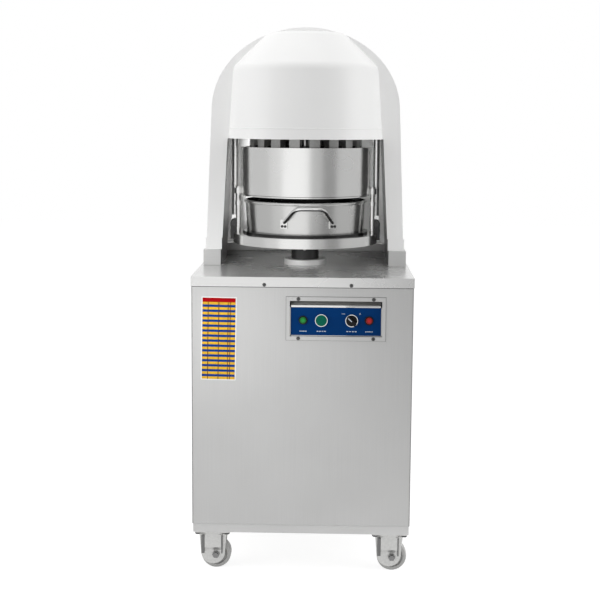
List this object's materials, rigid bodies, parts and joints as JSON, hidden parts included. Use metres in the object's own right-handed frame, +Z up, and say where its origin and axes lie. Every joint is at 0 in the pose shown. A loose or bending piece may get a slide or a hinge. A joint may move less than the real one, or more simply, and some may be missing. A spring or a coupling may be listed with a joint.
{
  "type": "dough divider",
  "caption": "Electric dough divider: dome-hooded press head with ring, plungers and knives over a round pan, on a stainless cabinet with casters and a front control panel.",
  "frame": {"origin": "on the floor, under the press axis at the middle of the machine", "axes": "+X to the operator's right, +Y to the back, +Z up"},
  "size_m": [0.523, 0.572, 1.316],
  "materials": {
    "stainless": "brushed stainless sheet",
    "frame_steel": "pale grey painted steel",
    "plain_steel": "plain machined steel",
    "column_steel": "dark grey satin",
    "polished_steel": "polished",
    "ring_steel": "turned stainless",
    "pan_steel": "spun stainless",
    "white_cover": "smooth white",
    "blue_panel": "smooth blue",
    "dark_plastic": "matte black",
    "green_lens": "clear-coated green",
    "green_button": "smooth green",
    "red_lens": "clear-coated red",
    "plunger_alloy": "satin cast alloy",
    "cast_alloy": "painted cast alloy",
    "zinc": "zinc plated",
    "wheel_nylon": "pale moulded"
  },
  "bodies": {
    "machine": {"base_frame": "frame_steel", "floor_plate": "stainless", "front_panel": "stainless", "rear_panel": "stainless", "side_panels": "stainless", "top_plate": "stainless", "panel_screws": "polished_steel", "cable_gland": "dark_plastic", "control_bezel": "stainless", "control_box": "stainless", "control_panel": "blue_panel", "lamp_bezels": "dark_plastic", "run_lamp_lens": "green_lens", "stop_lamp_lens": "red_lens", "button_bezels": "polished_steel", "rear_plinth": "stainless", "cover_base": "white_cover", "back_cover": "white_cover", "hood_skirt": "white_cover", "hood_arch": "white_cover", "hood_visor": "white_cover", "left_column": "column_steel", "right_column": "column_steel", "pedestal": "ring_steel", "platform": "ring_steel", "tie_rods": "polished_steel", "rod_pins": "polished_steel", "guide_posts": "polished_steel", "crosshead": "plain_steel", "press_cylinder": "plain_steel", "oil_tank": "column_steel", "motor": "cast_alloy", "pump": "cast_alloy", "pressure_pipe": "plain_steel", "caster_plates": "zinc", "caster_bolts": "zinc"},
    "start_button": {"start_button": "green_button"},
    "selector": {"selector_knob": "dark_plastic"},
    "press": {"press_ram": "polished_steel", "knife_carrier": "plain_steel", "knife_rods": "polished_steel", "knife_set": "plain_steel"},
    "plungers": {"plunger_carrier": "plain_steel", "plungers": "plunger_alloy"},
    "ring": {"press_ring": "ring_steel"},
    "pan": {"pan": "pan_steel", "pan_handle": "polished_steel", "pan_rivets": "polished_steel"},
    "fork_front_left": {"fork_front_left": "zinc", "axle_front_left": "zinc"},
    "wheel_front_left": {"wheel_front_left": "wheel_nylon"},
    "fork_front_right": {"fork_front_right": "zinc", "axle_front_right": "zinc"},
    "wheel_front_right": {"wheel_front_right": "wheel_nylon"},
    "fork_rear_left": {"fork_rear_left": "zinc", "axle_rear_left": "zinc"},
    "wheel_rear_left": {"wheel_rear_left": "wheel_nylon"},
    "fork_rear_right": {"fork_rear_right": "zinc", "axle_rear_right": "zinc"},
    "wheel_rear_right": {"wheel_rear_right": "wheel_nylon"}
  },
  "joints": [
    {"name": "press_stroke", "type": "slide", "parent": "machine", "child": "press", "axis": [0, 0, 1], "range_m": [-0.097, 0]},
    {"name": "plunger_stroke", "type": "slide", "parent": "machine", "child": "plungers", "axis": [0, 0, 1], "range_m": [-0.0836, 0]},
    {"name": "ring_lower", "type": "slide", "parent": "machine", "child": "ring", "axis": [0, 0, 1], "range_m": [-0.0147, 0]},
    {"name": "pan_draw", "type": "slide", "parent": "machine", "child": "pan", "axis": [0, -1, 0], "range_m": [0, 0.45]},
    {"name": "start_press", "type": "slide", "parent": "machine", "child": "start_button", "axis": [0, 1, 0], "range_m": [0, 0.0032], "stiffness_N_per_m": 800},
    {"name": "selector_turn", "type": "hinge", "parent": "machine", "child": "selector", "pos_m": [0.116, -0.266, 0.623], "axis": [0, 1, 0], "range_deg": [0, 90]},
    {"name": "swivel_front_left", "type": "hinge", "parent": "machine", "child": "fork_front_left", "pos_m": [-0.214, -0.217, 0.094], "axis": [0, 0, 1], "continuous": true},
    {"name": "roll_front_left", "type": "hinge", "parent": "fork_front_left", "child": "wheel_front_left", "pos_m": [-0.207, -0.217, 0.036], "axis": [0, 1, 0], "continuous": true},
    {"name": "swivel_front_right", "type": "hinge", "parent": "machine", "child": "fork_front_right", "pos_m": [0.214, -0.217, 0.094], "axis": [0, 0, 1], "continuous": true},
    {"name": "roll_front_right", "type": "hinge", "parent": "fork_front_right", "child": "wheel_front_right", "pos_m": [0.221, -0.217, 0.036], "axis": [0, 1, 0], "continuous": true},
    {"name": "swivel_rear_left", "type": "hinge", "parent": "machine", "child": "fork_rear_left", "pos_m": [-0.214, 0.217, 0.094], "axis": [0, 0, 1], "continuous": true},
    {"name": "roll_rear_left", "type": "hinge", "parent": "fork_rear_left", "child": "wheel_rear_left", "pos_m": [-0.207, 0.217, 0.036], "axis": [0, 1, 0], "continuous": true},
    {"name": "swivel_rear_right", "type": "hinge", "parent": "machine", "child": "fork_rear_right", "pos_m": [0.214, 0.217, 0.094], "axis": [0, 0, 1], "continuous": true},
    {"name": "roll_rear_right", "type": "hinge", "parent": "fork_rear_right", "child": "wheel_rear_right", "pos_m": [0.221, 0.217, 0.036], "axis": [0, 1, 0], "continuous": true}
  ],
  "couplings": [
    {"joint": "plunger_stroke", "follows": "press_stroke", "ratio": 0.86}
  ]
}
